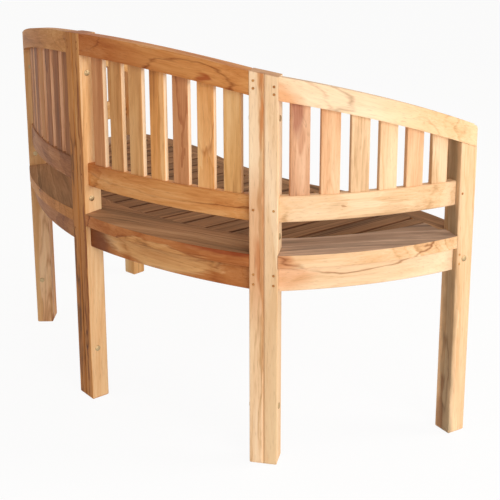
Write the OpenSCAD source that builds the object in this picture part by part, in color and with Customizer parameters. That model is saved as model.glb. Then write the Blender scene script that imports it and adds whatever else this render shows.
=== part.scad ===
// Curved teak garden sofa with a kidney-shaped seat, slatted back and sloping arm rails.
// The frame is a knock-down one: four bent panels whose half posts are bolted together.
// Origin: middle of the footprint, on the floor. X runs left to right, the back is at +Y, Z is up.
// Every piece is drawn for the +X half. The left-hand piece is its mirror image.

/* [Overall] */
// Width over the arm posts
bench_w = 1354; // [1200:1:1500]
// Depth from the centre post's outer face to the front of the seat
bench_d = 600; // [560:1:640]
// Height of the centre post
bench_h = 870; // [820:1:920]
// Height of the arm rail at its front end
arm_h = 695; // [650:1:740]
// Height of the seat's upper face
seat_h = 465; // [430:1:480]

/* [Posts] */
// Depth of every post, and the width of the two square arm posts
post_d = 44; // [38:0.5:50]
// Width of each half of a bolted rear post
half_post_w = 29; // [26:0.5:34]
// Distance of a side post's middle inside the width over the arm posts
side_post_inset = 176; // [150:1:200]
// How far a side post stands in front of the centre post
side_post_drop = 132; // [110:1:150]
// Turn of a side post's outer face
side_post_turn = 38; // [30:0.5:46]
// How far an arm post's back corner stands behind the front of the seat
arm_post_setback = 76; // [60:1:95]
// Turn of an arm post's outer face
arm_post_turn = 81.3; // [76:0.1:86]
// Width of the groove's slope on each half where two halves meet
joint_chamfer = 3.5; // [1:0.5:5]
// Radius worked on the lower edges of every foot
foot_r = 7; // [2:0.5:12]
// Size of the easing on the long edges of posts, boards and slats
edge_r = 2; // [0.5:0.5:3]

/* [Rails] */
// Outward bow of the rails between two posts
rail_bow = 21; // [12:0.5:30]
// Thickness of bottom rails and aprons
rail_t = 20; // [16:0.5:26]
// Height of the bottom back rail
bottom_rail_h = 53; // [40:0.5:60]
// Height of the bottom back rail's underside
bottom_rail_z = 525; // [505:1:545]
// Height of the aprons
apron_h = 52; // [40:0.5:60]
// Thickness of the top rail
top_rail_t = 30; // [26:0.5:36]
// Height of the top rail
top_rail_h = 47; // [40:0.5:55]
// How far the top rail lies behind the posts' outer faces
top_rail_setback = 1.5; // [0.5:0.5:4]
// Radius at the front end of the arm rail
arm_end_r = 10; // [4:0.5:16]

/* [Back slats] */
// Slats in each panel behind the seat
back_slat_count = 7; // [5:1:8]
// Slats in each panel under an arm rail
arm_slat_count = 6; // [4:1:6]
// Width of a back slat
slat_w = 40; // [30:0.5:44]
// Thickness of a back slat
slat_t = 12; // [9:0.5:15]
// Depth of the slots that hold the slats
slot_depth = 12; // [8:0.5:16]

/* [Seat] */
// Outward bow of the seat's edge between two posts
seat_bow = 27; // [15:0.5:36]
// Width of the seat's rim boards at the back and sides
rim_w = 95; // [75:1:110]
// Thickness of the rim boards
rim_t = 32; // [26:0.5:36]
// Width of the slope worked on the rim's outer edge
rim_slope_w = 36; // [10:1:45]
// Fall of that slope
rim_slope_drop = 5; // [2:0.5:8]
// Distance of the front bulges inside the width over the arm posts
bulge_inset = 247; // [220:1:270]
// Depth of the hollow in the middle of the front edge
front_dip = 54; // [35:1:65]
// Share of the front wave that the hollow takes, the bulges taking the rest
dip_share = 0.575; // [0.5:0.005:0.62]
// Width of the front rim board
front_rim_w = 54; // [48:1:66]
// Spacing of the seat slats
seat_slat_pitch = 59; // [55:0.5:64]
// Gap between two seat slats
seat_slat_gap = 8; // [5:0.5:12]
// Thickness of the seat slats
seat_slat_t = 20; // [16:0.5:24]
// Length of the tongue that holds a seat slat in the rim
tongue_l = 9; // [6:0.5:14]
// Thickness of that tongue
tongue_t = 8; // [6:0.5:10]
// Width of the bearers under the seat slats
bearer_w = 40; // [30:1:50]
// Height of the bearers below the rim's underside
bearer_h = 28; // [20:1:35]
// Distance of the rear bearer from the centre post
rear_bearer_y = 240; // [200:1:290]
// Distance of the front bearer from the centre post
front_bearer_y = 420; // [380:1:450]

/* [Joints and fasteners] */
// Length of a rail's tenon
tenon_l = 17; // [12:0.5:19]
// Thickness of a rail's tenon
tenon_t = 9; // [7:0.5:12]
// Shoulder above and below a tenon
shoulder = 8; // [5:0.5:10]
// Clearance round a part that sits in a slot or hole
fit = 0.2; // [0.1:0.05:0.3]
// Diameter of the pegs through the tenons
peg_d = 5; // [4:0.5:7]
// Length of the pegs
peg_l = 36; // [30:0.5:37]
// Distance of the pegs from the post's side face
peg_inset = 8.5; // [6:0.5:11]
// Diameter of the bolts' shanks
bolt_d = 6; // [5:0.5:8]
// Diameter of the bolt heads and nuts
bolt_head_d = 13; // [11:0.5:16]
// Thickness of the bolt heads and nuts
bolt_head_t = 3; // [2:0.5:5]
// Height of the lowest bolt in each rear post
low_bolt_z = 128; // [90:1:200]
// Height of the bolt between seat and bottom rail
middle_bolt_z = 495; // [480:1:505]
// Distance of the top bolt below the top of its post
top_bolt_drop = 88; // [75:1:120]
// Length of the bolt that holds the front apron
apron_bolt_l = 80; // [70:1:90]
// Diameter of the barrel nut in the front apron
barrel_d = 10; // [8:0.5:12]
// Length of that nut
barrel_l = 14; // [10:0.5:15]
// Length of the front apron's tenon
front_tenon_l = 10; // [6:0.5:12]
// Height of the arm post's tenon in the arm rail
post_tenon_h = 24; // [12:1:32]

/* [Hidden] */

// Curves this large need many sides in the preview.
$fn = 720;
small_fn = 36;

honey = "#c98f58";
gold = "#dcb27a";
umber = "#9c6a43";
steel = "#b9b7ae";

// Plan: corners, outward normals and arcs
back_y = bench_d / 2;
front_y = -bench_d / 2;
rail_setback = (post_d - rail_t) / 2;
rim_z = seat_h - rim_t;
apron_z = rim_z - apron_h;
slat_seat_z = bottom_rail_z + bottom_rail_h;
reach = 90;
tenon_root = 6;

// How far a cut runs past the face that it opens
over = 1;

// Turns an outward normal by a quarter, to run along the face from the centre to the arm.
function along(n) = [n.y, -n.x];
function normal_at(turn) = [sin(turn), cos(turn)];
centre_n = [0, 1];
side_n = normal_at(side_post_turn);
arm_n = normal_at(arm_post_turn);
centre_face = [0, back_y];
side_face = [bench_w / 2 - side_post_inset, back_y - side_post_drop];
arm_corner = [bench_w / 2 - post_d * cos(arm_post_turn), front_y + arm_post_setback];
arm_inner_corner = arm_corner - arm_n * post_d;

// A panel is [start corner, start normal, end corner, end normal].
back_panel = [centre_face + along(centre_n) * half_post_w, centre_n,
    side_face - along(side_n) * half_post_w, side_n];
arm_panel = [side_face + along(side_n) * half_post_w, side_n, arm_corner, arm_n];

// Arc of a panel at a distance behind the posts' faces: its ends, radius and centre.
function arc_start(panel, setback) = panel[0] - panel[1] * setback;
function arc_end(panel, setback) = panel[2] - panel[3] * setback;
function bow_r(chord, bow) = (chord * chord / 4 + bow * bow) / (2 * bow);
function arc_r(panel, setback, bow) = bow_r(norm(arc_end(panel, setback) - arc_start(panel, setback)), bow);
function arc_c(panel, setback, bow) =
    let (a = arc_start(panel, setback), b = arc_end(panel, setback), u = (b - a) / norm(b - a))
    (a + b) / 2 - [-u.y, u.x] * (arc_r(panel, setback, bow) - bow);
function bearing(v) = atan2(v.y, v.x);

// The angle that the rail between two posts turns through, and its length.
function arc_span(panel) =
    let (c = arc_c(panel, rail_setback, rail_bow))
    bearing(arc_start(panel, rail_setback) - c) - bearing(arc_end(panel, rail_setback) - c);
function arc_l(panel) = arc_r(panel, rail_setback, rail_bow) * arc_span(panel) * PI / 180;

// The top edge falls as the square of the distance along the back, from centre post to arm end.
back_l = arc_l(back_panel);
arm_l = arc_l(arm_panel);
back_start_s = half_post_w;
side_post_s = back_start_s + back_l;
arm_start_s = side_post_s + 2 * half_post_w;
arm_post_s = arm_start_s + arm_l;
arm_end_s = arm_post_s + post_d;
fall = (bench_h - arm_h) / (arm_end_s * arm_end_s);
top_edge_r = 1 / (2 * fall);
function top_z(s) = bench_h - fall * s * s;

// Front edge: a hollow between two bulges, met without a corner on the line of their centres.
bulge_x = bench_w / 2 - bulge_inset;
wave_r = (bulge_x * bulge_x + front_dip * front_dip) / (2 * front_dip);
dip_r = wave_r * dip_share;
bulge_r = wave_r - dip_r;
bulge_c = [bulge_x, front_y + bulge_r];
dip_c = [0, front_y + front_dip - dip_r];
front_turn = atan2(bulge_c.x - dip_c.x, bulge_c.y - dip_c.y);
front_end_turn = asin((arm_inner_corner.x + post_d / 2 - bulge_x) / (bulge_r - front_rim_w));
front_steps = 20;

// Where the middle of the front apron crosses the arm post, at a depth inside the post's inner face.
// The result is a distance along the face, from the post's back corner.
function apron_mid(depth) =
    let (w = arm_inner_corner - arm_n * depth - bulge_c, ahead = w * along(arm_n),
        mid_r = bulge_r - rail_setback - rail_t / 2)
    sqrt(mid_r * mid_r - w * w + ahead * ahead) - ahead;

// The half of the front edge at +X, moved back by a distance.
function front_curve(gap) = concat(
    [for (i = [0:front_steps]) dip_c + (dip_r + gap) * normal_at(i / front_steps * front_turn)],
    [for (i = [1:2 * front_steps])
        let (turn = i / (2 * front_steps) * (front_turn + front_end_turn) - front_turn)
        bulge_c + (bulge_r - gap) * [sin(turn), -cos(turn)]]);
function reversed(points) = [for (i = [len(points) - 1:-1:0]) points[i]];
function mirrored(points) = [for (p = points) [-p.x, p.y]];

// Rectangle with eased corners, from the origin.
module eased_square(size, r) {
    translate([0, r]) square([size.x, size.y - 2 * r]);
    translate([r, 0]) square([size.x - 2 * r, size.y]);
    for (x = [r, size.x - r], y = [r, size.y - r]) translate([x, y]) circle(r = r, $fn = small_fn);
}

// Moves children to a face: local x runs along it, local y points outward.
module at_face(corner, n) {
    translate([corner.x, corner.y, 0]) rotate(bearing(n) - 90) children();
}

module on_side(side) {
    if (side == "left") mirror([1, 0, 0]) children();
    else children();
}

// Area between a panel's two end planes, from a distance outside to a distance inside.
module panel_field(panel, inside = reach) {
    polygon([panel[0] + panel[1] * reach, panel[2] + panel[3] * reach,
        panel[2] - panel[3] * inside, panel[0] - panel[1] * inside]);
}

// Bowed strip of a panel, seen from above.
module band(panel, setback, thickness, bow) {
    r = arc_r(panel, setback, bow);
    centre = arc_c(panel, setback, bow);
    translate(centre) difference() {
        circle(r = r);
        circle(r = r - thickness);
    }
}

// One tenon at a panel's end, with its root in the rail. end is -1 at the start and 1 at the end.
module tenon(panel, end, depth, low, high, grow = 0) {
    corner = end < 0 ? panel[0] : panel[2];
    n = end < 0 ? panel[1] : panel[3];
    length = tenon_l + grow;
    at_face(corner, n)
        translate([end < 0 ? -length : -tenon_root, -depth - tenon_t / 2 - grow, low - grow])
            cube([length + tenon_root, tenon_t + 2 * grow, high - low + 2 * grow]);
}

// The tenons of a panel's end: bottom rail and apron, and the top rail's, which lies nearer to the face.
top_tenon_y = top_rail_setback + top_rail_t / 2;
module end_tenons(panel, end, grow) {
    tenon(panel, end, post_d / 2, bottom_rail_z + shoulder, slat_seat_z - shoulder, grow);
    tenon(panel, end, post_d / 2, apron_z + shoulder, rim_z - shoulder, grow);
}
module top_tenon(panel, end, s, grow = 0) {
    edge = top_z(s);
    tenon(panel, end, top_tenon_y, edge - top_rail_h + shoulder, edge - 2 * shoulder, grow);
}

// Pegs of one joint, driven in from the post's outer face. The shares are of the apron's height from
// below, and of the top rail's height from above.
apron_peg_shares = [0.3, 0.7];
top_peg_shares = [0.4, 0.72];
module peg(panel, end, z, grow = 0) {
    corner = end < 0 ? panel[0] : panel[2];
    n = end < 0 ? panel[1] : panel[3];
    at_face(corner, n) translate([end * peg_inset, grow, z]) rotate([90, 0, 0])
        cylinder(d = peg_d + 2 * grow, h = peg_l + 2 * grow, $fn = small_fn);
}
module low_pegs(panel, end, grow = 0) {
    peg(panel, end, bottom_rail_z + bottom_rail_h / 2, grow);
    for (share = apron_peg_shares) peg(panel, end, apron_z + apron_h * share, grow);
}
module top_pegs(panel, end, s, grow = 0) {
    for (share = top_peg_shares) peg(panel, end, top_z(s) - top_rail_h * share, grow);
}

// Bolts through a rear post, along its face, a little nearer to the face than the middle.
bolt_depth = post_d * 0.42;
function post_top(n) = n == centre_n ? bench_h : top_z(side_post_s + half_post_w);
function bolt_heights(n) = [low_bolt_z, middle_bolt_z, post_top(n) - top_bolt_drop];
module bolt_holes(face, n) {
    at_face(face, n) for (z = bolt_heights(n)) translate([-half_post_w - over, -bolt_depth, z])
        rotate([0, 90, 0]) cylinder(d = bolt_d + 2 * fit, h = 2 * (half_post_w + over), $fn = small_fn);
}

// Outline of a post with rounded lower corners, standing on the origin and running to -X. Its upper
// corners lie above every post's top.
module foot_outline(width) {
    translate([-width, 0]) eased_square([width, bench_h + 2 * foot_r], foot_r);
}

// Post rounded at the foot on all four sides, behind its outer face and running to -X along it.
module footed_post(width) {
    intersection() {
        rotate([90, 0, 0]) linear_extrude(post_d) foot_outline(width);
        translate([-width, 0, 0]) rotate([90, 0, 90]) linear_extrude(width) foot_outline(post_d);
        translate([-width, -post_d, 0]) linear_extrude(bench_h + foot_r)
            eased_square([width, post_d], edge_r);
    }
}

// One half of a rear post. side is -1 or 1, and s is where the post's middle lies on the top edge.
module half_post(face, n, side, s) {
    edge_x = side * half_post_w;
    at_face(face, n) difference() {
        intersection() {
            translate([half_post_w, 0, 0]) footed_post(2 * half_post_w);
            rotate([90, 0, 0]) linear_extrude(post_d)
                polygon([[0, 0], [edge_x, 0], [edge_x, top_z(s + edge_x)], [0, top_z(s)]]);
        }
        linear_extrude(bench_h + over)
            polygon([[0, -joint_chamfer], [side * joint_chamfer, 0], [0, over], [-side * over, 0]]);
    }
}

module centre_post_half() {
    color(honey) difference() {
        half_post(centre_face, centre_n, 1, 0);
        bolt_holes(centre_face, centre_n);
        end_tenons(back_panel, -1, fit);
        top_tenon(back_panel, -1, back_start_s, fit);
        low_pegs(back_panel, -1, fit);
        top_pegs(back_panel, -1, back_start_s, fit);
    }
}

module side_post_back_half() {
    color(honey) difference() {
        half_post(side_face, side_n, -1, side_post_s + half_post_w);
        bolt_holes(side_face, side_n);
        end_tenons(back_panel, 1, fit);
        top_tenon(back_panel, 1, side_post_s, fit);
        low_pegs(back_panel, 1, fit);
        top_pegs(back_panel, 1, side_post_s, fit);
    }
}

module side_post_arm_half() {
    color(gold) difference() {
        half_post(side_face, side_n, 1, side_post_s + half_post_w);
        bolt_holes(side_face, side_n);
        end_tenons(arm_panel, -1, fit);
        top_tenon(arm_panel, -1, arm_start_s, fit);
        low_pegs(arm_panel, -1, fit);
        top_pegs(arm_panel, -1, arm_start_s, fit);
    }
}

// Cylindrical underside or top of a rail, as a solid below it. The side view is along the chord.
module below_top_edge(panel, start_s, end_s, drop) {
    a = arc_start(panel, rail_setback);
    b = arc_end(panel, rail_setback);
    chord = norm(b - a);
    start_z = top_z(start_s) - drop;
    end_z = top_z(end_s) - drop;
    slope = atan2(end_z - start_z, chord);
    length = norm([chord, end_z - start_z]);
    height = sqrt(top_edge_r * top_edge_r - length * length / 4);
    u = (b - a) / chord;
    translate([a.x, a.y, 0]) rotate(bearing(u)) rotate([90, 0, 0]) translate([0, 0, -2 * reach])
        linear_extrude(4 * reach) intersection() {
            translate([0, start_z]) rotate(slope) translate([length / 2, -height])
                circle(r = top_edge_r);
            translate([-reach, 0]) square([chord + 3 * reach, bench_h + over]);
        }
}

// Tenon on top of an arm post, up into the arm rail.
post_tenon_w = post_d / 2;
module post_tenon(grow = 0) {
    foot_z = bottom_rail_z;
    at_face(arm_corner, arm_n)
        translate([(post_d - post_tenon_w) / 2 - grow, -top_tenon_y - tenon_t / 2 - grow, foot_z])
            cube([post_tenon_w + 2 * grow, tenon_t + 2 * grow,
                top_z(arm_end_s) - top_rail_h + post_tenon_h + grow - foot_z]);
}

// Bolt through the arm post into the end of the front apron. Local z points inward along it.
apron_bolt_x = apron_mid((apron_bolt_l - post_d) / 2);
apron_bolt_z = apron_z + apron_h / 2;
module apron_bolt_place() {
    at_face(arm_corner, arm_n) translate([apron_bolt_x, 0, apron_bolt_z]) rotate([90, 0, 0]) children();
}
module apron_bolt_hole() {
    apron_bolt_place() translate([0, 0, -over])
        cylinder(d = bolt_d + 2 * fit, h = apron_bolt_l + 2 * over, $fn = small_fn);
}

module arm_post() {
    color(gold) difference() {
        union() {
            intersection() {
                at_face(arm_corner, arm_n) translate([post_d, 0, 0]) footed_post(post_d);
                below_top_edge(arm_panel, arm_start_s, arm_post_s, top_rail_h + fit);
            }
            post_tenon();
        }
        end_tenons(arm_panel, 1, fit);
        low_pegs(arm_panel, 1, fit);
        apron_bolt_hole();
        front_tenon(fit);
    }
}

// Slats: place along the rail, and the slat itself with its ends in the slots
function slat_gap(panel, count) = (arc_l(panel) - count * slat_w) / (count + 1);
function slat_s(panel, count, i) =
    let (gap = slat_gap(panel, count))
    gap + slat_w / 2 + (i - 1) * (slat_w + gap);
module slat_solid(panel, count, start_s, i, grow = 0) {
    r = arc_r(panel, rail_setback, rail_bow);
    centre = arc_c(panel, rail_setback, rail_bow);
    s = slat_s(panel, count, i);
    heading = bearing(arc_start(panel, rail_setback) - centre) - s / r * 180 / PI;
    low = slat_seat_z - slot_depth - grow;
    high = top_z(start_s + s) - top_rail_h + slot_depth + grow;
    translate([centre.x, centre.y, low]) rotate(heading)
        translate([r - rail_t / 2 - slat_t / 2 - grow, -slat_w / 2 - grow, 0]) linear_extrude(high - low)
            eased_square([slat_t + 2 * grow, slat_w + 2 * grow], edge_r + grow);
}
module slat_slots(panel, count, start_s) {
    for (i = [1:count]) slat_solid(panel, count, start_s, i, fit);
}

module back_slat(i) { color(honey) slat_solid(back_panel, back_slat_count, back_start_s, i); }
module arm_slat(i) { color(gold) slat_solid(arm_panel, arm_slat_count, arm_start_s, i); }

// Bottom rails and aprons: bowed boards with a narrow flat on each long edge and a tenon at each end
module board_section(outer, height) {
    inner = outer - rail_t;
    polygon([[inner + edge_r, 0], [outer - edge_r, 0], [outer, edge_r], [outer, height - edge_r],
        [outer - edge_r, height], [inner + edge_r, height], [inner, height - edge_r], [inner, edge_r]]);
}
module board(panel, low, high) {
    height = high - low;
    translate([0, 0, low]) intersection() {
        translate(concat(arc_c(panel, rail_setback, rail_bow), 0)) rotate_extrude()
            board_section(arc_r(panel, rail_setback, rail_bow), height);
        translate([0, 0, -over]) linear_extrude(height + 2 * over) panel_field(panel);
    }
}
module tenoned_board(panel, low, high) {
    board(panel, low, high);
    for (end = [-1, 1]) tenon(panel, end, post_d / 2, low + shoulder, high - shoulder);
}
module board_pegs(panel) {
    for (end = [-1, 1]) low_pegs(panel, end, fit);
}

module bottom_rail(panel, count, start_s) {
    difference() {
        tenoned_board(panel, bottom_rail_z, slat_seat_z);
        slat_slots(panel, count, start_s);
        board_pegs(panel);
    }
}
module back_bottom_rail() { color(honey) bottom_rail(back_panel, back_slat_count, back_start_s); }
module arm_bottom_rail() { color(gold) bottom_rail(arm_panel, arm_slat_count, arm_start_s); }

module side_apron(panel) {
    difference() {
        tenoned_board(panel, apron_z, rim_z);
        board_pegs(panel);
    }
}
module back_apron() { color(honey) side_apron(back_panel); }
module arm_apron() { color(gold) side_apron(arm_panel); }

// Top rails: bowed in plan, and falling in a curve from the centre to the arms
module falling_band(panel, start_s, end_s) {
    difference() {
        intersection() {
            linear_extrude(bench_h + over) children();
            below_top_edge(panel, start_s, end_s, 0);
        }
        below_top_edge(panel, start_s, end_s, top_rail_h);
    }
}

module back_top_rail() {
    color(honey) difference() {
        union() {
            falling_band(back_panel, back_start_s, side_post_s) intersection() {
                band(back_panel, top_rail_setback, top_rail_t, rail_bow);
                panel_field(back_panel);
            }
            top_tenon(back_panel, -1, back_start_s);
            top_tenon(back_panel, 1, side_post_s);
        }
        slat_slots(back_panel, back_slat_count, back_start_s);
        top_pegs(back_panel, -1, back_start_s, fit);
        top_pegs(back_panel, 1, side_post_s, fit);
    }
}

// Rounds the upper corner at the front end of the arm rail.
module arm_end_round() {
    corner_z = top_z(arm_end_s);
    at_face(arm_corner, arm_n) translate([post_d - arm_end_r, reach, corner_z - arm_end_r])
        rotate([90, 0, 0]) linear_extrude(2 * reach) difference() {
            square(3 * arm_end_r);
            circle(r = arm_end_r, $fn = 4 * small_fn);
        }
}

// The arm rail runs on over its post, to the post's front face.
module arm_rail_field() {
    front_corner = arm_corner + along(arm_n) * post_d;
    polygon([arm_panel[0] + side_n * reach, arm_corner + arm_n * reach, front_corner + arm_n * reach,
        front_corner - arm_n * reach, arm_panel[0] - side_n * reach]);
}

module arm_top_rail() {
    color(gold) difference() {
        union() {
            falling_band(arm_panel, arm_start_s, arm_post_s) intersection() {
                band(arm_panel, top_rail_setback, top_rail_t, rail_bow);
                arm_rail_field();
            }
            top_tenon(arm_panel, -1, arm_start_s);
        }
        slat_slots(arm_panel, arm_slat_count, arm_start_s);
        top_pegs(arm_panel, -1, arm_start_s, fit);
        post_tenon(fit);
        arm_end_round();
    }
}

// Wavy strip behind the front edge, between the inner faces of the arm posts
module front_band(near, far) {
    front = front_curve(near);
    back = front_curve(far);
    face = [arm_inner_corner + along(arm_n) * 3 * reach, arm_inner_corner - along(arm_n) * 3 * reach];
    intersection() {
        polygon(concat(mirrored(reversed(front)), front, reversed(back), mirrored(back)));
        polygon(concat(face, reversed(mirrored(face))));
    }
}

// Tenon at the front apron's end, into the arm post's inner face, round the bolt.
module front_tenon(grow = 0) {
    at_face(arm_inner_corner, arm_n)
        translate([apron_mid(0) - tenon_t / 2 - grow, -tenon_root, apron_z + shoulder - grow])
            cube([tenon_t + 2 * grow, front_tenon_l + tenon_root + grow, apron_h - 2 * shoulder + 2 * grow]);
}

module front_apron() {
    color(honey) difference() {
        union() {
            translate([0, 0, apron_z]) linear_extrude(apron_h)
                front_band(rail_setback, rail_setback + rail_t);
            for (side = ["left", "right"]) on_side(side) front_tenon();
        }
        for (side = ["left", "right"]) on_side(side) {
            apron_bolt_hole();
            barrel(fit, rail_t);
        }
    }
}

// Seat rim: bowed boards with a slope on the outer edge and a groove for the slats' tongues
tongue_z = seat_h - (seat_slat_t + tongue_t) / 2;
groove_l = tongue_l + 2 * fit;
module rim_section(outer, width, slope_w, drop) {
    inner = outer - width;
    difference() {
        polygon([[inner, rim_z], [outer, rim_z], [outer, seat_h - drop],
            [outer - slope_w, seat_h], [inner, seat_h]]);
        translate([inner - over, tongue_z - fit]) square([groove_l + over, tongue_t + 2 * fit]);
    }
}
module rim_ring(panel) {
    r = arc_r(panel, 0, seat_bow);
    translate(concat(arc_c(panel, 0, seat_bow), 0))
        rotate_extrude() rim_section(r, rim_w, rim_slope_w, rim_slope_drop);
}
module post_footprints() {
    translate(centre_face - [half_post_w, post_d]) square([2 * half_post_w, post_d + reach]);
    translate(side_face) rotate(bearing(side_n) - 90)
        translate([-half_post_w, -post_d]) square([2 * half_post_w, post_d + reach]);
    translate(arm_corner) rotate(bearing(arm_n) - 90)
        translate([0, -post_d]) square([post_d + reach, post_d + reach]);
}

rim_reach = 2.5 * reach;
module back_rim_field() {
    polygon([[0, back_y + reach], side_face + side_n * reach,
        side_face - side_n * rim_reach, [0, back_y - rim_reach]]);
}
module arm_rim_field() {
    forward = along(arm_n) * post_d / 2;
    difference() {
        polygon([side_face + side_n * reach, arm_corner + arm_n * reach + forward,
            arm_corner - arm_n * rim_reach + forward, side_face - side_n * rim_reach]);
        front_band(-reach, front_rim_w);
    }
}
module rim_board(panel) {
    color(umber) intersection() {
        rim_ring(panel);
        translate([0, 0, rim_z - over]) linear_extrude(rim_t + 2 * over) difference() {
            children();
            post_footprints();
        }
    }
}
module back_rim() { rim_board(back_panel) back_rim_field(); }
module arm_rim() { rim_board(arm_panel) arm_rim_field(); }

// Front rim board: one wavy board with the same groove
module front_rim() {
    color(umber) difference() {
        translate([0, 0, rim_z]) linear_extrude(rim_t) front_band(0, front_rim_w);
        translate([0, 0, tongue_z - fit]) linear_extrude(tongue_t + 2 * fit)
            front_band(front_rim_w - groove_l, front_rim_w + over);
    }
}

// Area inside the rim, on the +X side. grow moves its edge outward, into the groove.
module seat_area(grow = 0) {
    intersection() {
        translate(arc_c(back_panel, 0, seat_bow)) circle(r = arc_r(back_panel, 0, seat_bow) - rim_w + grow);
        translate(arc_c(arm_panel, 0, seat_bow)) circle(r = arc_r(arm_panel, 0, seat_bow) - rim_w + grow);
        polygon(concat([[0, back_y]], front_curve(front_rim_w - grow), [[bench_w / 2, back_y]]));
    }
}

module seat_slats() {
    count = ceil(bench_w / 2 / seat_slat_pitch);
    color(umber) for (i = [0:count - 1]) {
        intersection() {
            union() {
                translate([0, 0, seat_h - seat_slat_t]) linear_extrude(seat_slat_t) seat_area(-fit);
                translate([0, 0, tongue_z]) linear_extrude(tongue_t) seat_area(tongue_l);
            }
            translate([i * seat_slat_pitch + seat_slat_gap / 2, back_y, rim_z]) rotate([90, 0, 0])
                linear_extrude(bench_d) eased_square([seat_slat_pitch - seat_slat_gap, rim_t], edge_r);
        }
    }
}

// Bearers under the slats. Their ends pass under the rim and meet the arm aprons. Each half runs past
// the middle of the bench, so that the two halves are one board.
bearer_places = [back_y - rear_bearer_y, back_y - front_bearer_y];
module bearer_bar(y, low, high, grow = 0) {
    translate([-over, y - bearer_w / 2 - grow, low]) cube([bench_w / 2, bearer_w + 2 * grow, high - low]);
}
module half_bearer(y) {
    apron_inner_r = arc_r(arm_panel, rail_setback, rail_bow) - rail_t - fit;
    intersection() {
        bearer_bar(y, rim_z - bearer_h, rim_z);
        translate(concat(arc_c(arm_panel, rail_setback, rail_bow), 0))
            cylinder(r = apron_inner_r, h = bench_h);
    }
    intersection() {
        bearer_bar(y, rim_z - over, seat_h - seat_slat_t);
        linear_extrude(bench_h) union() {
            seat_area(-fit);
            translate([-over, y - bearer_w]) square([2 * over, 2 * bearer_w]);
        }
    }
}
module seat_bearers() {
    color(umber) for (y = bearer_places) union() {
        half_bearer(y);
        mirror([1, 0, 0]) half_bearer(y);
    }
}

// Stretcher from the centre post to the front apron, notched for the bearers.
module centre_stretcher() {
    front_end = front_y + front_dip + rail_setback + rail_t + fit;
    color(honey) difference() {
        translate([-rail_t / 2, front_end, apron_z]) cube([rail_t, back_y - post_d - front_end, apron_h]);
        for (y = bearer_places) translate([-rail_t, 0, 0])
            bearer_bar(y, rim_z - bearer_h, rim_z + over, fit);
    }
}

// Fasteners. A bolt's head is a low dome on a short rim.
head_rim_t = 1;
dome_r = bow_r(bolt_head_d, bolt_head_t - head_rim_t);
module dome_head() {
    intersection() {
        translate([0, 0, dome_r - bolt_head_t]) sphere(r = dome_r, $fn = small_fn);
        translate([0, 0, -bolt_head_t]) cylinder(d = bolt_head_d, h = bolt_head_t, $fn = small_fn);
    }
}
module bolt(length) {
    cylinder(d = bolt_d, h = length, $fn = small_fn);
    dome_head();
}
module rear_bolts(face, n) {
    at_face(face, n) for (z = bolt_heights(n)) translate([half_post_w, -bolt_depth, z])
        rotate([0, -90, 0]) bolt(2 * half_post_w + bolt_head_t);
}
module rear_nuts(face, n) {
    at_face(face, n) for (z = bolt_heights(n)) translate([-half_post_w - bolt_head_t, -bolt_depth, z])
        rotate([0, 90, 0]) difference() {
            cylinder(d = bolt_head_d, h = bolt_head_t, $fn = 6);
            translate([0, 0, -over]) cylinder(d = bolt_d + fit, h = bolt_head_t + 2 * over, $fn = small_fn);
        }
}

// Barrel nut across the bolt, set off towards the front. Its hole runs on to the apron's rear face.
barrel_front = barrel_l * 0.35;
module barrel(grow = 0, run_on = 0) {
    apron_bolt_place() translate([barrel_front + grow, 0, apron_bolt_l - barrel_d]) rotate([0, -90, 0])
        cylinder(d = barrel_d + 2 * grow, h = barrel_l + run_on + 2 * grow, $fn = small_fn);
}

module frame_bolts() {
    color(steel) {
        mirror([1, 0, 0]) rear_bolts(centre_face, centre_n);
        for (side = ["left", "right"]) on_side(side) {
            rear_bolts(side_face, side_n);
            apron_bolt_place() bolt(apron_bolt_l);
        }
    }
}
module frame_nuts() {
    color(steel) {
        mirror([1, 0, 0]) rear_nuts(centre_face, centre_n);
        for (side = ["left", "right"]) on_side(side) rear_nuts(side_face, side_n);
    }
}
module barrel_nuts() {
    color(steel) for (side = ["left", "right"]) on_side(side) difference() {
        barrel();
        apron_bolt_place() cylinder(d = bolt_d + fit, h = apron_bolt_l + over, $fn = small_fn);
    }
}

module tenon_pegs() {
    color(umber) for (side = ["left", "right"]) on_side(side) {
        for (panel = [back_panel, arm_panel], end = [-1, 1]) low_pegs(panel, end);
        top_pegs(back_panel, -1, back_start_s);
        top_pegs(back_panel, 1, side_post_s);
        top_pegs(arm_panel, -1, arm_start_s);
    }
}

for (side = ["left", "right"]) on_side(side) {
    centre_post_half();
    side_post_back_half();
    side_post_arm_half();
    arm_post();
    back_top_rail();
    arm_top_rail();
    back_bottom_rail();
    arm_bottom_rail();
    back_apron();
    arm_apron();
    back_rim();
    arm_rim();
    seat_slats();
    for (i = [1:back_slat_count]) back_slat(i);
    for (i = [1:arm_slat_count]) arm_slat(i);
}
front_rim();
front_apron();
centre_stretcher();
seat_bearers();
frame_bolts();
frame_nuts();
barrel_nuts();
tenon_pegs();
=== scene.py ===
"""Looks of a teak garden sofa: every CAD piece stays, and gets the timber or metal of the real one."""

import math
from collections import namedtuple

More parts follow.
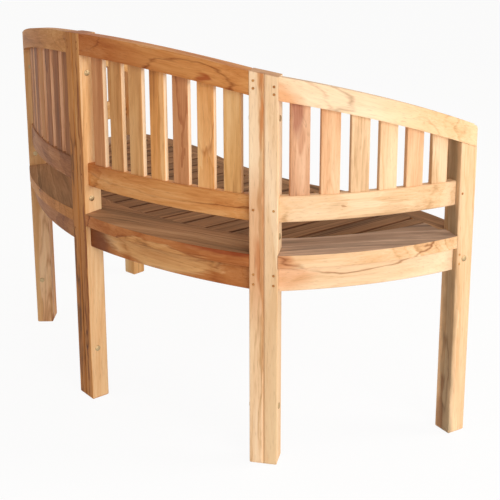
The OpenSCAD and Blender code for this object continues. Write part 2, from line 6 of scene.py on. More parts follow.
import bpy
from mathutils import Euler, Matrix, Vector


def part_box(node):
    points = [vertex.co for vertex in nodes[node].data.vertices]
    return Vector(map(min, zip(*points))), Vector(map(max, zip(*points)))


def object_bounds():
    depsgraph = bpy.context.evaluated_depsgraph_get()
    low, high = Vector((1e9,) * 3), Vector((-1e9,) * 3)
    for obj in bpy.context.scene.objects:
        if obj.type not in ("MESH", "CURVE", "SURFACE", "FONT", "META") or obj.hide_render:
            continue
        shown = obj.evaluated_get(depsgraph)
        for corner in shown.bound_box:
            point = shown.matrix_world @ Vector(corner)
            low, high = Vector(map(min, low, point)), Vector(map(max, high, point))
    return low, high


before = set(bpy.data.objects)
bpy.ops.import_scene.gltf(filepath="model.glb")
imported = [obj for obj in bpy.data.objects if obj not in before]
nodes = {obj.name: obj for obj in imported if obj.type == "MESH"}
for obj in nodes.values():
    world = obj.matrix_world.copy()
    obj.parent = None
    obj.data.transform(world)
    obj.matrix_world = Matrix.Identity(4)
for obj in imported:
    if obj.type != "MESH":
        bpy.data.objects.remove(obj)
cad_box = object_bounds()

MM = 0.001

# The grain's headings over the floor, and its tilts
CROSSWISE = 0.0
FRONT_TO_BACK = math.pi / 2
LEVEL = 0.0
UPRIGHT = math.pi / 2

# The bench's left is at -X.
SIDES = {"left": -1, "right": 1}
# Height of a top rail at one place, in metres
TOP_RAIL_H = 0.047

# Short names of the shader nodes that are used most
MATH = "ShaderNodeMath"
VECTOR = "ShaderNodeVectorMath"
NOISE = "ShaderNodeTexNoise"
CHANCE = "ShaderNodeTexWhiteNoise"
MAPPING = "ShaderNodeMapping"
RAMP = "ShaderNodeValToRGB"
MIX = "ShaderNodeMix"
SPLIT = "ShaderNodeSeparateXYZ"


def to_linear(hex_colour):
    """An sRGB hex colour as linear red, green, blue and an alpha of 1."""
    channels = [int(hex_colour[i : i + 2], 16) / 255 for i in (1, 3, 5)]
    return [c / 12.92 if c <= 0.04045 else ((c + 0.055) / 1.055) ** 2.4 for c in channels] + [1.0]


def add(tree, kind, *values, links=None, stops=None, **settings):
    """Adds a shader node and returns it.

    settings are its properties, values fill its open inputs in their order and links fills inputs by name.
    A value is a number, a colour, a socket, or a node whose first open output is meant. stops are a
    colour ramp's places, each with a hex colour or a grey value.
    """
    made = tree.nodes.new(kind)
    for name, value in settings.items():
        setattr(made, name, value)
    open_inputs = [socket for socket in made.inputs if socket.enabled]
    wanted = list(zip(open_inputs, values))
    wanted += [(made.inputs[name], value) for name, value in (links or {}).items()]
    for socket, value in wanted:
        if isinstance(value, bpy.types.Node):
            value = next(output for output in value.outputs if output.enabled)
        if isinstance(value, bpy.types.NodeSocket):
            tree.links.new(value, socket)
        else:
            socket.default_value = to_linear(value) if isinstance(value, str) else value
    if stops:
        elements = made.color_ramp.elements
        while len(elements) < len(stops):
            elements.new(0.5)
        for element, (place, colour) in zip(elements, stops):
            element.position = place
            element.color = to_linear(colour) if isinstance(colour, str) else (colour, colour, colour, 1)
    return made


def new_material(name):
    """A material without any node yet, as (material, tree)."""
    material = bpy.data.materials.new(name)
    material.use_nodes = True
    material.node_tree.nodes.clear()
    return material, material.node_tree


# Teak: planed heartwood without a finish. Its growth rings show as streaks along the grain. They open into
# arches and long lenses where the saw ran flat to the ring or the board is bowed, each ring has a shade of
# its own and ends in a thin darker line, and short open pores run along it. The planed face has a faint
# silky sheen. Tops that lie in the weather have dulled to a greyish brown; their tones also carry painted
# shade on the seat and painted light on the arm rims.

# Width of a growth ring, radius that the edges seem to have, and depth of the streaks and pores
RING_MM = 9.0
EDGE_MM = 2.0
RELIEF_MM = 0.6

# Sizes of the patterns across and along the grain, in mm. Real pores are 0.3 mm wide, and are drawn
# coarser so that they show.
PORE_SIZE = (1.5, 26.0)
STREAK_SIZE = (3.2, 150.0)
FIGURE_SIZE = (34.0, 420.0)
RAGGED_SIZE = (14.29, 71.43)
SLOW_SIZE = (125.0, 667.0)

# How far the noises bend the rings and the marks, twice across the grain and once along it, in metres
SLOW_BEND = Vector((34, 34, 60)) * MM
RAGGED_BEND = Vector((6, 6, 22)) * MM
MARK_BEND = Vector((22, 22, 60)) * MM

# How far apart the boards of a group may lie in their log, in metres
BOARD_SHIFT = Vector((0.05, 3.1, 0.02))
# The way along which a seed moves the noises
SEED_WAY = Vector((1.0, 1.7, 2.3))

# Rings are wider here and narrower there: a noise with 0.37 waves a ring moves them by up to three.
UNEVEN_PER_RING = 0.37
UNEVEN_RINGS = 3.0
# The late line over the width of a ring, and how much the rings differ in it
LATE_STOPS = [(0.0, 0.45), (0.10, 0.0), (0.60, 0.05), (0.90, 1.0), (1.0, 0.45)]
LATE_CONTRAST = 1.6

# What each pattern adds to the shade, and the places of the tones that the shade picks from
SHADE_START = -0.64
RING_SHADE = 0.26
FIGURE_SHADE = 1.25
STREAK_SHADE = 0.62
BOARD_SHADE = 0.22
TONE_PLACES = (0.10, 0.40, 0.66, 1.0)

# Roughness of the planed face, and what streaks and dulled tops add to it
ROUGHNESS = 0.46
STREAK_ROUGHNESS = 0.2
TOP_ROUGHNESS = 0.3

# Tints of end grain and of pores, how strongly they show, and a pore's depth against a streak's height
END_GRAIN = "#c9a07a"
END_GRAIN_SHARE = 0.75
PORE = "#8f6340"
PORE_STOPS = [(0.60, 0.0), (0.76, 0.27)]
PORE_DEPTH = 1.5

# Cosines between which a face comes to look along a way, and heights of the normal between which it
# comes to look up
FACING = (0.80, 0.97)
UP_STOPS = [(0.55, 0.0), (0.9, 1.0)]

# Tones of the timber, each from its palest streaks to its darkest lines. The last two are of tops that
# lie in the weather: the seat's, darker with painted shade, and the greyer ones at its sides, paler with
# painted light from the window side.
PALE = ["#fce4c2", "#f7d8b4", "#efcba2", "#c79b6e"]
CREAM = ["#f9dbb3", "#f1caa0", "#e6b889", "#bb8958"]
PEACH = ["#f6d3ac", "#eec196", "#e3ac80", "#b78058"]
ROSE = ["#f3cdac", "#e9bc99", "#d9a580", "#9d6c50"]
GOLD = ["#f3ce9a", "#eabb82", "#dda667", "#a66c3c"]
STRAW = ["#f6d4a6", "#edc291", "#e1af78", "#b07a4a"]
AMBER = ["#f6c68c", "#ecb073", "#dd9a58", "#a66535"]
HONEY = ["#e6ae74", "#d89657", "#c67d41", "#7d4824"]
TAN = ["#e8ba86", "#daa56c", "#c78b53", "#7d4f2d"]
BROWN = ["#d89f62", "#c8894c", "#b4753e", "#724824"]
UMBER = ["#bd8452", "#a86c3e", "#8f5830", "#54301a"]
PURPLE = ["#dca577", "#cb8c5d", "#b57248", "#6f442d"]
# Dark tones for the seat slats' sides, undersides and ends: painted shade in the gaps between them
GAP_SHADE = ["#8f6444", "#7b5236", "#664129", "#412817"]
WEATHERED_AND_SHADED = ["#c1956d", "#a77a56", "#8c6849", "#674932"]
GREYED_AND_LIT = ["#dec0a8", "#c19f87", "#a38873", "#786050"]

# A mark in the timber: an ellipsoid round a place in the CAD frame, with its reach along and across the
# grain, all in mm. The timber is tinted inside it (heart), outside it (around) or on its skin alone
# (line), as strongly as its share says.
Mark = namedtuple("Mark", "kind place along across tint share")
# Width of a line where it is half as strong
LINE_MM = 2.6
DARK_LINE = "#a06c46"
# How far the streaks fray a mark's edge, as a share of its width
FRAY = 0.16
# A line grows from faint to full between two values of the broad figure.
LINE_FADE = (0.36, 0.58)
FAINT = 0.15


def mark_stops(mark):
    """How strongly a mark tints, over the distance from its middle. Its skin is at 0.5."""
    if mark.kind == "heart":
        return [(0.30, 1.0), (0.56, 0.0)]
    if mark.kind == "around":
        return [(0.47, 0.0), (0.56, 1.0)]
    fade = LINE_MM / (2 * mark.across)
    return [(0.5 - fade, 0.0), (0.5, 1.0), (0.5 + fade, 0.0)]


# A plank: its tones, how far the log's pith lies from its middle in mm (to the side in an upright and
# downward in a board, then outward), the strength of the ring lines, a seed, its marks, the angle at which
# the pith leaves the grain, in radians, which draws arches on the broad face, and the paler tones of an
# upright's two narrow sides, a painted highlight of the light that catches them.
Plank = namedtuple(
    "Plank", "tones pith line seed marks lean side_tones", defaults=((6, -75), 0.5, 0.0, (), 0.02, None)
)


def grain_scale(across, along):
    """Scale of a pattern from its sizes across and along the grain, in mm."""
    return (1 / (across * MM), 1 / (across * MM), 1 / (along * MM))


def looking(tree, normal, way, share):
    """How much a face looks along a way or against it, from 0 to share."""
    cosine = add(tree, VECTOR, normal, way, operation="DOT_PRODUCT").outputs["Value"]
    stops = list(zip(FACING, (0.0, share)))
    return add(tree, RAMP, add(tree, MATH, cosine, operation="ABSOLUTE"), stops=stops)


def teak(name, plank, middle, heading, tilt, board_pitch=None, top_tones=None):
    """Teak whose grain runs along heading over the floor and climbs by tilt.

    The pattern is solid: the distance from the log's pith, bent by slow noise, is counted in rings.
    board_pitch starts the timber anew in each board of a group laid side by side along X, and the top
    tones are the dulled tones of faces that look up, with painted shade (seat) and painted light (arm
    rims).
    """
    material, tree = new_material(name)
    turn = Euler((plank.lean, UPRIGHT - tilt, heading))
    pith = middle + turn.to_matrix() @ Vector((plank.pith[0], plank.pith[1], 0)) * MM
    place = add(tree, "ShaderNodeTexCoord").outputs["Object"]
    if board_pitch:
        board = add(tree, MATH, add(tree, SPLIT, place), board_pitch, operation="DIVIDE")
        board = add(tree, MATH, board, operation="FLOOR")
        own = add(tree, CHANCE, board, noise_dimensions="1D").outputs["Color"]
        place = add(tree, VECTOR, own, BOARD_SHIFT, place, operation="MULTIPLY_ADD")
    log = add(tree, MAPPING, place, pith, turn, vector_type="TEXTURE")

    # Slow bends and small ragged ones, much longer along the grain than across it. A noise has its size
    # from its place, and its two numbers are a scale of 1 and its detail.
    seed = SEED_WAY * plank.seed
    unturned = (0, 0, 0)
    slow_place = add(tree, MAPPING, log, seed, unturned, grain_scale(*SLOW_SIZE))
    slow = add(tree, NOISE, slow_place, 1.0, 1.0).outputs["Color"]
    ragged_place = add(tree, MAPPING, log, seed, unturned, grain_scale(*RAGGED_SIZE))
    ragged = add(tree, NOISE, ragged_place, 1.0, 2.0).outputs["Color"]
    bend = add(tree, VECTOR, slow, SLOW_BEND, -SLOW_BEND / 2, operation="MULTIPLY_ADD")
    bend = add(tree, VECTOR, ragged, RAGGED_BEND, bend, operation="MULTIPLY_ADD")
    bent = add(tree, VECTOR, log, bend, operation="ADD")

    # Rings: each has its own width and shade, and a thin late line at its outer side
    flat = add(tree, VECTOR, bent, (1, 1, 0), operation="MULTIPLY")
    from_pith = add(tree, VECTOR, flat, operation="LENGTH")
    count = add(tree, MATH, from_pith, RING_MM * MM, operation="DIVIDE")
    uneven = add(tree, NOISE, count, UNEVEN_PER_RING, 0.0, noise_dimensions="1D")
    count = add(tree, MATH, uneven, UNEVEN_RINGS, count, operation="MULTIPLY_ADD")
    ring = add(tree, MATH, add(tree, MATH, count, operation="FLOOR"), plank.seed, operation="ADD")
    of_ring = add(tree, SPLIT, add(tree, CHANCE, ring, noise_dimensions="1D").outputs["Color"])
    late = add(tree, RAMP, add(tree, MATH, count, operation="FRACT"), stops=LATE_STOPS)
    strength = add(tree, MATH, of_ring.outputs["Y"], LATE_CONTRAST, operation="POWER")
    late = add(tree, MATH, late, strength, operation="MULTIPLY")

    # Broad figure and fine streaks
    broad = add(tree, MAPPING, bent, seed, unturned, grain_scale(*FIGURE_SIZE))
    figure = add(tree, NOISE, broad, 1.0, 3.0)
    fine = add(tree, MAPPING, bent, seed, unturned, grain_scale(*STREAK_SIZE))
    streak = add(tree, NOISE, fine, 1.0, 4.0)

    shade = add(tree, MATH, of_ring, RING_SHADE, SHADE_START, operation="MULTIPLY_ADD")
    shade = add(tree, MATH, figure, FIGURE_SHADE, shade, operation="MULTIPLY_ADD")
    shade = add(tree, MATH, streak, STREAK_SHADE, shade, operation="MULTIPLY_ADD")
    shade = add(tree, MATH, late, plank.line, shade, operation="MULTIPLY_ADD")
    if board_pitch:
        shade = add(tree, MATH, add(tree, SPLIT, own), BOARD_SHADE, shade, operation="MULTIPLY_ADD")
    colour = add(tree, RAMP, shade, stops=list(zip(TONE_PLACES, plank.tones)))

    # Marks, with ragged edges that follow the streaks
    frayed = add(tree, MATH, streak, FRAY, -FRAY / 2, operation="MULTIPLY_ADD")
    near_marks = add(tree, VECTOR, ragged, MARK_BEND, log, operation="MULTIPLY_ADD")
    for mark in plank.marks:
        centre = turn.to_matrix().inverted() @ (Vector(mark.place) * MM - pith) + MARK_BEND / 2
        widths = Vector((mark.across, mark.across, mark.along)) * 2 * MM
        inside = add(tree, MAPPING, near_marks, centre, unturned, widths, vector_type="TEXTURE")
        distance = add(tree, VECTOR, inside, operation="LENGTH")
        fade = mark.share
        if mark.kind == "line":
            fades = (FAINT * mark.share, mark.share)
            fade = add(tree, RAMP, figure, stops=list(zip(LINE_FADE, fades)))
        else:
            distance = add(tree, MATH, distance, frayed, operation="ADD")
        share = add(tree, RAMP, distance, stops=mark_stops(mark))
        share = add(tree, MATH, share, fade, operation="MULTIPLY")
        colour = add(tree, MIX, share, colour, mark.tint, data_type="RGBA", blend_type="MULTIPLY")

    # Faces that look up have dulled and gone matt, and their tones also carry painted shade on the seat and
    # painted light on the arm rims; an upright's narrow sides get a painted highlight; and end grain is
    # darker
    rough = add(tree, MATH, streak, STREAK_ROUGHNESS, ROUGHNESS, operation="MULTIPLY_ADD")
    normal = add(tree, "ShaderNodeNewGeometry").outputs["Normal"]
    # The top tones are weathered, and darkened with painted shade or lightened with painted light
    if top_tones:
        dulled_top_light = add(tree, RAMP, shade, stops=list(zip(TONE_PLACES, top_tones)))
        up = add(tree, RAMP, add(tree, SPLIT, normal).outputs["Z"], stops=UP_STOPS)
        colour = add(tree, MIX, up, colour, dulled_top_light, data_type="RGBA")
        rough = add(tree, MATH, up, TOP_ROUGHNESS, rough, operation="MULTIPLY_ADD")
    # Painted highlight: the narrow sides are the same timber, drawn paler where the light catches them
    if plank.side_tones:
        painted_side_highlight = add(tree, RAMP, shade, stops=list(zip(TONE_PLACES, plank.side_tones)))
        sideways = looking(tree, normal, turn.to_matrix() @ Vector((1, 0, 0)), 1.0)
        colour = add(tree, MIX, sideways, colour, painted_side_highlight, data_type="RGBA")
    end = looking(tree, normal, turn.to_matrix() @ Vector((0, 0, 1)), END_GRAIN_SHARE)
    colour = add(tree, MIX, end, colour, END_GRAIN, data_type="RGBA", blend_type="MULTIPLY")

    # Pores: short dark dashes along the grain
    open_grain = add(tree, MAPPING, log, seed, unturned, grain_scale(*PORE_SIZE))
    dash = add(tree, RAMP, add(tree, NOISE, open_grain, 1.0, 1.0), stops=PORE_STOPS)
    colour = add(tree, MIX, dash, colour, PORE, data_type="RGBA", blend_type="MULTIPLY")

    # Relief: streaks stand up, pores lie deep, and the edges are a little rounded
    depth = add(tree, MATH, dash, PORE_DEPTH, operation="MULTIPLY")
    height = add(tree, MATH, streak, depth, operation="SUBTRACT")
    rounded = add(tree, "ShaderNodeBevel", EDGE_MM * MM, samples=4)
    relief = {"Height": height, "Normal": rounded, "Strength": 0.3, "Distance": RELIEF_MM * MM}
    bump = add(tree, "ShaderNodeBump", links=relief)
    inputs = {"Base Color": colour, "Roughness": rough, "Normal": bump}
    inputs |= {"IOR": 1.5, "Specular IOR Level": 0.2}
    shader = add(tree, "ShaderNodeBsdfPrincipled", links=inputs)
    add(tree, "ShaderNodeOutputMaterial", shader)
    return material


# The mottle of the plating, in spots a metre, which puts them 1.7 mm apart, and its roughness
MOTTLE = 600.0
STEEL_ROUGHNESS = 0.48
MOTTLE_ROUGHNESS = 0.15


def steel():
    """Yellow-zinc-plated steel: a straw-coloured metal with a dull sheen and a slight mottle."""
    material, tree = new_material("yellow_zinc_plated_steel")
    place = add(tree, "ShaderNodeTexCoord").outputs["Object"]
    mottle = add(tree, NOISE, place, MOTTLE, 2.0)
    colour = add(tree, RAMP, mottle, stops=[(0.3, "#a98f68"), (0.7, "#ceb68e")])
    rough = add(tree, MATH, mottle, MOTTLE_ROUGHNESS, STEEL_ROUGHNESS, operation="MULTIPLY_ADD")
    inputs = {"Base Color": colour, "Roughness": rough, "Metallic": 1.0}
    shader = add(tree, "ShaderNodeBsdfPrincipled", links=inputs)
    add(tree, "ShaderNodeOutputMaterial", shader)
    return material


def wear(node, material):
    """Gives a CAD node a material."""
    piece = nodes[node]
    if not piece.material_slots:
        piece.data.materials.append(material)
    for slot in piece.material_slots:
        slot.link = "OBJECT"
        slot.material = material


def middle_of(node):
    """Middle of a node's box, in metres."""
    low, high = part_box(node)
    return (Vector(low) + Vector(high)) / 2


def run_of(node):
    """Heading and tilt of the plank that a bowed board was sawn from, with its outer face at +Y."""
    low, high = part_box(node)
    size = Vector(high) - Vector(low)
    side = SIDES[node.rsplit("_", 1)[1]]
    fall = size.z - TOP_RAIL_H if "top_rail" in node else 0.0
    return -side * math.atan2(size.y, size.x), -side * math.atan2(fall, math.hypot(size.x, size.y))


def face_turn(node):
    """Turn of an upright about the vertical: the panels sweep round a point near the front of the seat."""
    middle = middle_of(node)
    return math.atan2(-middle.x, middle.y - cad_box[0][1])


# The timber of each post
POSTS = {
    "centre_post_left": Plank(
        BROWN,
        pith=(60, -40),
        line=0.25,
        seed=0.31,
        # Its narrow sides are the same timber, paler as a painted highlight of the light on them
        side_tones=STRAW,
        marks=(
            Mark("heart", (-25, 300, 300), 300, 5, "#b49480", 0.8),
            Mark("heart", (-14, 300, 120), 240, 4, "#ac907a", 0.8),
            Mark("heart", (-17, 300, 600), 420, 3, "#b08c6c", 0.7),
            Mark("line", (-12, 300, 150), 22, 6, "#70482c", 0.8),
        ),
    ),
    "centre_post_right": Plank(BROWN, pith=(14, -40), line=0.8, seed=1.2, lean=0.01),
    "side_post_back_half_left": Plank(
        PALE,
        pith=(-50, -60),
        line=0.3,
        seed=2.6,
        marks=(
            # Darker wedge at the top of the joint between the halves: painted shade of the chamfer
            Mark("heart", (-499, 171, 850), 330, 8, "#dcac80", 0.9),
            Mark("heart", (-492, 175, 440), 60, 9, "#dcb08a", 0.8),
            Mark("heart", (-500, 170, 470), 170, 60, "#ead3c2", 0.95),
            # Darker band down the whole joint: painted shade in the groove between the halves
            Mark("heart", (-500, 170, 435), 2500, 7, "#dccbb2", 0.8),
        ),
    ),
    "side_post_arm_half_left": Plank(
        PALE,
        pith=(20, -48),
        line=0.35,
        seed=3.3,
        marks=(Mark("heart", (-520, 150, 120), 420, 60, "#ece2d2", 0.9),),
    ),
    "side_post_back_half_right": Plank(
        CREAM,
        pith=(2, -30),
        line=0.12,
        seed=4.9,
        marks=(
            Mark("line", (458, 160, 120), 180, 19, "#b07a50", 0.75),
            Mark("line", (456, 158, 43), 150, 14, "#b07a50", 0.75),
            Mark("line", (457, 158, -63), 150, 15, "#b88460", 0.5),
            Mark("line", (459, 162, -129), 160, 13, "#b88460", 0.45),
            Mark("around", (458, 160, 150), 210, 20, "#eadac0", 0.85),
        ),
    ),
    "side_post_arm_half_right": Plank(HONEY, pith=(30, -60), seed=5.4),
    "arm_post_left": Plank(
        CREAM,
        pith=(10, -62),
        line=0.3,
        seed=6.2,
        marks=(
            # A grey tint along the whole back face: painted shade on the face turned away from the light
            Mark("heart", (-652, -212, 300), 2500, 28, "#b5b7b5", 0.95),
            Mark("line", (-650, -226, 140), 80, 10, "#a08874", 0.6),
            Mark("heart", (-646, -228, 118), 26, 7, "#bca494", 0.8),
            Mark("heart", (-640, -228, 40), 60, 12, "#b89c8c", 0.7),
        ),
    ),
    "arm_post_right": Plank(GOLD, pith=(25, -45), seed=7.7),
}

# The timber of each bowed rail and apron
BOARDS = {
    "back_top_rail_left": Plank(
        HONEY,
        pith=(8, -95),
        line=0.3,
        seed=1.9,
        marks=(
            Mark("line", (-40, 292, 885), 72, 52, DARK_LINE, 0.9),
            Mark("line", (-340, 230, 807), 110, 32, DARK_LINE, 1.0),
            Mark("heart", (-20, 300, 840), 260, 60, "#dab89c", 0.85),
            Mark("heart", (-381, 224, 806), 17, 8, "#c07a58", 0.8),
        ),
    ),
    "back_top_rail_right": Plank(BROWN, pith=(-14, -80), line=0.3, seed=2.9),
    "arm_top_rail_left": Plank(
        PALE,
        pith=(-9, -90),
        line=0.25,
        seed=3.1,
        marks=(
            Mark("heart", (-515, 160, 772), 70, 36, "#efc3a4", 0.9),
            Mark("line", (-530, 166, 786), 120, 43, "#b98a5e", 0.6),
            Mark("line", (-544, 138, 794), 132, 32, "#8f6a48", 0.8),
            Mark("line", (-641, -108, 697), 60, 27, "#c69a68", 0.5),
            Mark("line", (-668, -262, 672), 55, 22, "#c69a68", 0.25),
            Mark("heart", (-655, -190, 683), 190, 70, "#fdf5e8", 1.0),
        ),
    ),
    "arm_top_rail_right": Plank(GOLD, pith=(12, -85), seed=4.7),
    "back_bottom_rail_left": Plank(
        HONEY,
        pith=(10, -84),
        line=0.2,
        seed=5.8,
        marks=(
            Mark("line", (-270, 240, 635), 520, 92, DARK_LINE, 0.9),
            Mark("heart", (-30, 290, 590), 130, 40, "#dcbca4", 0.8),
        ),
    ),
    "back_bottom_rail_right": Plank(UMBER, pith=(-5, -115), line=0.2, seed=6.9),
    "arm_bottom_rail_left": Plank(
        PALE,
        pith=(16, -78),
        line=0.25,
        seed=7.2,
        marks=(
            Mark("around", (-588, 0, 531), 170, 28, "#f8f0e6", 0.9),
            Mark("heart", (-584, 18, 552), 8, 3, "#b98a5e", 0.6),
        ),
    ),
    "arm_bottom_rail_right": Plank(GOLD, pith=(10, -70), seed=8.1),
    "back_apron_left": Plank(
        TAN,
        pith=(4, -88),
        line=0.55,
        seed=9.4,
        marks=(
            Mark("around", (-245, 257, 428), 180, 43, "#d6b090", 0.95),
            Mark("heart", (-35, 288, 400), 85, 44, "#aa9694", 0.95),
            Mark("line", (-245, 257, 428), 180, 43, DARK_LINE, 0.8),
            Mark("line", (-290, 250, 436), 150, 20, DARK_LINE, 0.7),
        ),
    ),
    "back_apron_right": Plank(UMBER, pith=(9, -80), line=0.2, seed=1.4),
    "arm_apron_left": Plank(
        PALE,
        pith=(-8, -84),
        line=0.25,
        seed=2.9,
        marks=(
            Mark("line", (-590, 0, 470), 175, 58, "#a07448", 0.85),
            Mark("heart", (-525, 130, 415), 60, 34, "#f2d8c8", 0.9),
        ),
    ),
    "arm_apron_right": Plank(GOLD, pith=(11, -82), seed=3.8),
}

# The timber of each curved rim board of the seat
RIMS = {
    "back_rim_left": Plank(
        TAN,
        pith=(3, -120),
        seed=0.8,
        marks=(
            Mark("around", (-250, 268, 428), 190, 20, "#d8b298", 0.9),
            Mark("line", (-250, 268, 428), 190, 20, DARK_LINE, 0.7),
            Mark("heart", (-425, 214, 462), 125, 17, "#c08568", 0.85),
        ),
    ),
    "back_rim_right": Plank(BROWN, pith=(5, -110), line=0.2, seed=1.7),
    "arm_rim_left": Plank(
        CREAM,
        pith=(-4, -115),
        line=0.3,
        seed=2.2,
        marks=(
            Mark("line", (-590, 0, 470), 175, 58, "#a07448", 0.85),
            Mark("heart", (-530, 140, 445), 26, 24, "#e6c8b8", 0.9),
        ),
    ),
    "arm_rim_right": Plank(GOLD, pith=(4, -112), seed=3.6),
}

# Tones of the slats, counted outward from the centre post
SLATS = {
    ("back", "left"): [PURPLE, TAN, TAN, AMBER, PURPLE, AMBER, GOLD],
    ("back", "right"): [UMBER, UMBER, UMBER, BROWN, UMBER, UMBER, UMBER],
    ("arm", "left"): [ROSE, PEACH, PALE, CREAM, PEACH, PALE],
    ("arm", "right"): [HONEY, TAN, GOLD, HONEY, BROWN, GOLD],
}
# Tones of their narrow sides: a painted highlight, paler than the faces, where light catches the edges
SLAT_SIDE_HIGHLIGHTS = {("back", "left"): PALE, ("back", "right"): ROSE}
SLAT_MARKS = {
    "back_slat_left_6": (Mark("line", (-372, 214, 760), 120, 26, "#b98a5e", 0.6),),
    "arm_slat_left_1": (
        Mark("heart", (-532, 110, 752), 62, 14, "#c09a96", 0.8),
        Mark("line", (-538, 99, 724), 7, 6, "#80503c", 0.7),
        Mark("heart", (-537, 101, 684), 34, 9, "#d8b8a8", 0.6),
    ),
}

# A slat's seed comes from its number, its side and its panel.
SEED_STEP = 0.29
SEED_OF_SIDE = 3.3
SEED_OF_PANEL = {"back": 0.0, "arm": 1.9}
# Where a slat's pith lies, in mm, and how far its seed sways that and the lean
SLAT_PITH = -40
PITH_SWAY = 14
LEAN_SWAY = 0.05

# Distance from one seat slat to the next, in metres
SEAT_PITCH = 0.059


def dress(node, plank, heading, tilt, **finish):
    """Gives a CAD node the teak of its plank, with the grain along heading and tilt."""
    wear(node, teak("teak_" + node, plank, middle_of(node), heading, tilt, **finish))


def dress_posts():
    """Upright posts: grain straight up, the log turned with the post's face."""
    for node, plank in POSTS.items():
        dress(node, plank, face_turn(node), UPRIGHT)


def dress_boards():
    """Bowed rails, aprons and rim boards: grain straight along the plank that each was sawn from."""
    for node, plank in BOARDS.items():
        dress(node, plank, *run_of(node))
    for node, plank in RIMS.items():
        # Arm rim tops: weathered and paler with painted light; the others: weathered and darker with
        # painted shade
        tops = GREYED_AND_LIT if node.startswith("arm") else WEATHERED_AND_SHADED
        dress(node, plank, *run_of(node), top_tones=tops)


def dress_slats():
    """Upright slats, each of its own timber."""
    for (panel, side), all_tones in SLATS.items():
        for number, tones in enumerate(all_tones, 1):
            node = f"{panel}_slat_{side}_{number}"
            seed = SEED_STEP * number + SEED_OF_SIDE * SIDES[side] + SEED_OF_PANEL[panel]
            # The factors are uneven, so that no two slats sway alike.
            sideways = PITH_SWAY * math.sin(5.1 * seed)
            outward = SLAT_PITH - PITH_SWAY * math.cos(3.7 * seed)
            plank = Plank(
                tones,
                pith=(sideways, outward),
                line=0.35,
                seed=seed,
                marks=SLAT_MARKS.get(node, ()),
                lean=LEAN_SWAY * math.sin(7.3 * seed),
                side_tones=SLAT_SIDE_HIGHLIGHTS.get((panel, side)),
            )
            dress(node, plank, face_turn(node), UPRIGHT)


def dress_seat():
    """The seat's slats, which run front to back, its front rim, and the timbers under them."""
    # The seat's tops and the front rim's take weathered tones darkened with painted shade
    slats = {"board_pitch": SEAT_PITCH, "top_tones": WEATHERED_AND_SHADED}
    # Below their tops the slats are painted dark: painted shade in the gaps between them
    dress("seat_slats_left", Plank(GAP_SHADE, seed=5.2), FRONT_TO_BACK, LEVEL, **slats)
    dress("seat_slats_right", Plank(GAP_SHADE, seed=6.2), FRONT_TO_BACK, LEVEL, **slats)
    front = Plank(GOLD, pith=(5, -42), line=0.25, seed=4.4)
    dress("front_rim", front, CROSSWISE, LEVEL, top_tones=WEATHERED_AND_SHADED)
    for node, seed in (("front_apron", 6.8), ("seat_bearers", 7.8)):
        dress(node, Plank(GOLD, pith=(-4, -38), line=0.25, seed=seed), CROSSWISE, LEVEL)
    dress("centre_stretcher", Plank(HONEY, seed=8.4), FRONT_TO_BACK, LEVEL)


def dress_fasteners():
    """Bolts, nuts and pegs."""
    metal = steel()
    for node in ("frame_bolts", "frame_nuts", "barrel_nuts"):
        wear(node, metal)
    dress("tenon_pegs", Plank(BROWN, seed=5.7), FRONT_TO_BACK, LEVEL)


# Half the floor's width, in metres
FLOOR_REACH = 40.0
# The share of plain white in what the camera sees of the floor. The rest shows the object's shadow.
FLOOR_WHITE = 0.93
# The surroundings' light on the object, and the colours of that and of the lamps
SOFT_LIGHT = 0.40
SOFT_TINT = "#f5ece0"
LAMP_TINT = "#fffaf4"


def white_rays(tree):
    """1 for the rays that see plain white: the camera's, reflected ones and those through clear pieces."""
    ray = add(tree, "ShaderNodeLightPath").outputs
    seen = add(tree, MATH, ray["Is Glossy Ray"], ray["Is Transmission Ray"], operation="MAXIMUM")
    return add(tree, MATH, seen, ray["Is Camera Ray"], operation="MAXIMUM")


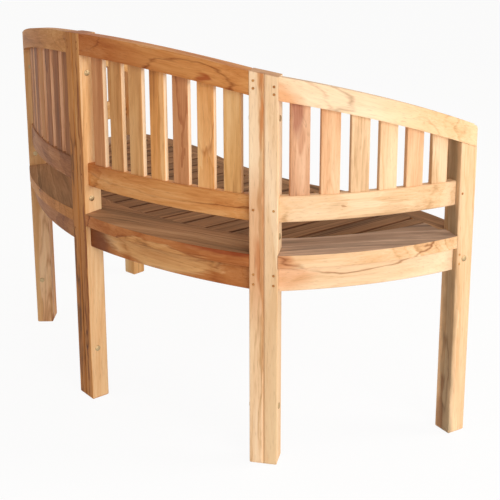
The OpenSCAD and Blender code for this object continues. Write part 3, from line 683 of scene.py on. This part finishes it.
def make_floor():
    """A plain pale floor that shows white to the camera and keeps the object's shadow."""
    mesh = bpy.data.meshes.new("floor")
    corners = [(x * FLOOR_REACH, y * FLOOR_REACH, 0) for x, y in ((-1, -1), (1, -1), (1, 1), (-1, 1))]
    mesh.from_pydata(corners, [], [(0, 1, 2, 3)])
    floor = bpy.data.objects.new("floor", mesh)
    bpy.context.scene.collection.objects.link(floor)
    material, tree = new_material("painted_floor")
    paint = add(tree, "ShaderNodeBsdfPrincipled", links={"Base Color": "#ffffff", "Roughness": 0.9})
    glow = add(tree, "ShaderNodeEmission", "#ffffff", 1.0)
    share = add(tree, MATH, white_rays(tree), FLOOR_WHITE, operation="MULTIPLY")
    add(tree, "ShaderNodeOutputMaterial", add(tree, "ShaderNodeMixShader", share, paint, glow))
    mesh.materials.append(material)


def make_world():
    """Soft white surroundings: white where the camera sees them, and a level light on the object."""
    world = bpy.data.worlds.new("studio")
    bpy.context.scene.world = world
    world.use_nodes = True
    tree = world.node_tree
    tree.nodes.clear()
    soft = add(tree, "ShaderNodeBackground", SOFT_TINT, SOFT_LIGHT)
    plain = add(tree, "ShaderNodeBackground", "#ffffff", 1.0)
    both = add(tree, "ShaderNodeMixShader", white_rays(tree), soft, plain)
    add(tree, "ShaderNodeOutputWorld", both)


def lamp(name, place, target, size, power):
    """A soft square lamp at a place, aimed at a target. Lengths are in metres and power in watts."""
    data = bpy.data.lights.new(name, "AREA")
    data.size = size
    data.energy = power
    data.color = to_linear(LAMP_TINT)[:3]
    made = bpy.data.objects.new(name, data)
    made.visible_camera = False
    made.location = place
    made.rotation_euler = (Vector(target) - Vector(place)).to_track_quat("-Z", "Y").to_euler()
    bpy.context.scene.collection.objects.link(made)


def make_lights():
    """A large window at the left arm's side, a lamp on the edges that face forward and a weak fill."""
    lamp("window", place=(-4.6, 0.8, 1.8), target=(-0.2, 0.0, 0.5), size=2.6, power=111)
    lamp("edge_light", place=(-2.9, -3.0, 2.9), target=(-0.3, 0.0, 0.5), size=1.5, power=81)
    lamp("fill", place=(0.8, 3.4, 2.6), target=(0.0, 0.0, 0.4), size=2.5, power=15)


def make_camera():
    """The photograph's viewpoint: behind the bench, off its left corner, with a 36 mm wide film."""
    data = bpy.data.cameras.new("camera")
    data.sensor_width = 36.0
    data.lens = 68.1
    data.shift_x = -0.0196
    data.shift_y = -0.21
    camera = bpy.data.objects.new("camera", data)
    camera.location = (-1.8672, 1.3123, 1.0813)
    camera.rotation_euler = (math.radians(77.42), 0, math.radians(230.27))
    bpy.context.scene.collection.objects.link(camera)
    bpy.context.scene.camera = camera


dress_posts()
dress_boards()
dress_slats()
dress_seat()
dress_fasteners()
make_floor()
make_world()
make_lights()
make_camera()
bpy.context.scene.view_settings.view_transform = "Standard"
